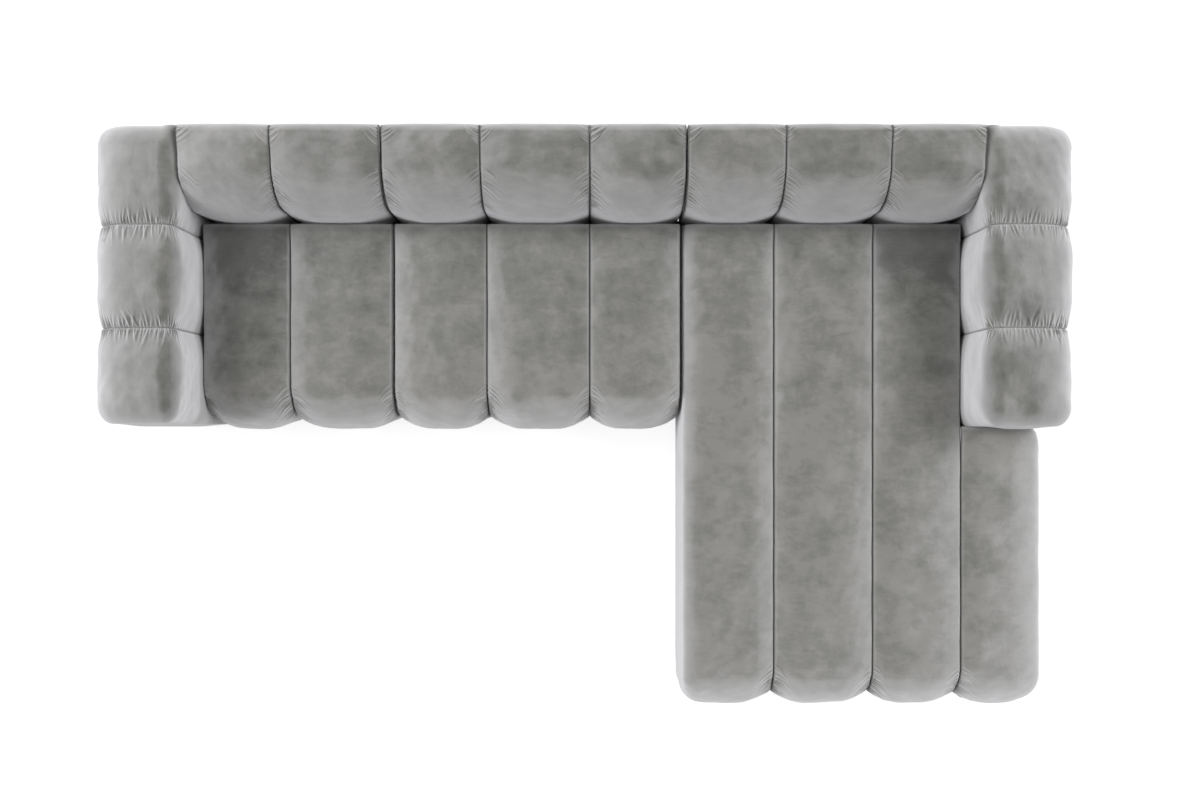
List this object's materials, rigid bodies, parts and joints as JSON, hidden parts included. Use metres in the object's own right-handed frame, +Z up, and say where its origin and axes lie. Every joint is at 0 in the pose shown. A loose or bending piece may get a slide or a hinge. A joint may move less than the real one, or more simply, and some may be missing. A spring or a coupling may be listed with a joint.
{
  "type": "sectional sofa with chaise",
  "caption": "Low modular corner-free sectional sofa with a long chaise, channelled velvet padding over seat, back and arms, sections hooked together on short feet.",
  "frame": {"origin": "on the floor, under the middle of the whole sofa's outline in plan", "axes": "+X along the back, from the left arm to the chaise side as seen from the front; +Y from the front to the wall behind the sofa; +Z up"},
  "size_m": [3.238, 1.991, 0.71],
  "materials": {
    "velvet": "soft grey velvet, brushed nap with lighter and darker patches",
    "timber": "sawn softwood and plywood, unfinished",
    "webbing": "woven elastic strap",
    "dust_cloth": "thin black non-woven cloth",
    "foot_plastic": "moulded black, fine grain",
    "zinc_steel": "bright zinc plated sheet steel"
  },
  "bodies": {
    "middle_section": {"middle_back_channel_1": "velvet", "middle_back_channel_2": "velvet", "middle_back_channel_3": "velvet", "middle_back_frame": "timber", "middle_base_frame": "timber", "middle_dust_cover": "dust_cloth", "middle_foot_front_left": "foot_plastic", "middle_foot_front_right": "foot_plastic", "middle_foot_rear_left": "foot_plastic", "middle_foot_rear_right": "foot_plastic", "middle_keeper_plate_left_front": "zinc_steel", "middle_keeper_plate_left_rear": "zinc_steel", "middle_keeper_plate_right_front": "zinc_steel", "middle_keeper_plate_right_rear": "zinc_steel", "middle_seat_channel_1": "velvet", "middle_seat_channel_2": "velvet", "middle_seat_channel_3": "velvet", "middle_seat_webbing": "webbing"},
    "left_section": {"left_arm_channel_front": "velvet", "left_arm_channel_middle": "velvet", "left_arm_channel_rear": "velvet", "left_arm_frame": "timber", "left_back_channel_1": "velvet", "left_back_channel_2": "velvet", "left_back_frame": "timber", "left_base_frame": "timber", "left_dust_cover": "dust_cloth", "left_foot_front_left": "foot_plastic", "left_foot_front_right": "foot_plastic", "left_foot_rear_left": "foot_plastic", "left_foot_rear_right": "foot_plastic", "left_seat_channel_1": "velvet", "left_seat_channel_2": "velvet", "left_seat_webbing": "webbing", "left_tongue_plate_front": "zinc_steel", "left_tongue_plate_rear": "zinc_steel"},
    "chaise_section": {"chaise_arm_channel_front": "velvet", "chaise_arm_channel_middle": "velvet", "chaise_arm_channel_rear": "velvet", "chaise_arm_frame": "timber", "chaise_back_channel_1": "velvet", "chaise_back_channel_2": "velvet", "chaise_back_channel_3": "velvet", "chaise_back_frame": "timber", "chaise_base_frame": "timber", "chaise_dust_cover": "dust_cloth", "chaise_foot_front_left": "foot_plastic", "chaise_foot_front_right": "foot_plastic", "chaise_foot_middle_left": "foot_plastic", "chaise_foot_middle_right": "foot_plastic", "chaise_foot_rear_left": "foot_plastic", "chaise_foot_rear_right": "foot_plastic", "chaise_seat_channel_1": "velvet", "chaise_seat_channel_2": "velvet", "chaise_seat_channel_3": "velvet", "chaise_seat_channel_4": "velvet", "chaise_seat_webbing": "webbing", "chaise_tongue_plate_front": "zinc_steel", "chaise_tongue_plate_rear": "zinc_steel"}
  },
  "joints": [
    {"name": "left_section_lift", "type": "slide", "parent": "middle_section", "child": "left_section", "axis": [0, 0, 1], "range_m": [0, 0.06]},
    {"name": "chaise_section_lift", "type": "slide", "parent": "middle_section", "child": "chaise_section", "axis": [0, 0, 1], "range_m": [0, 0.06]}
  ]
}
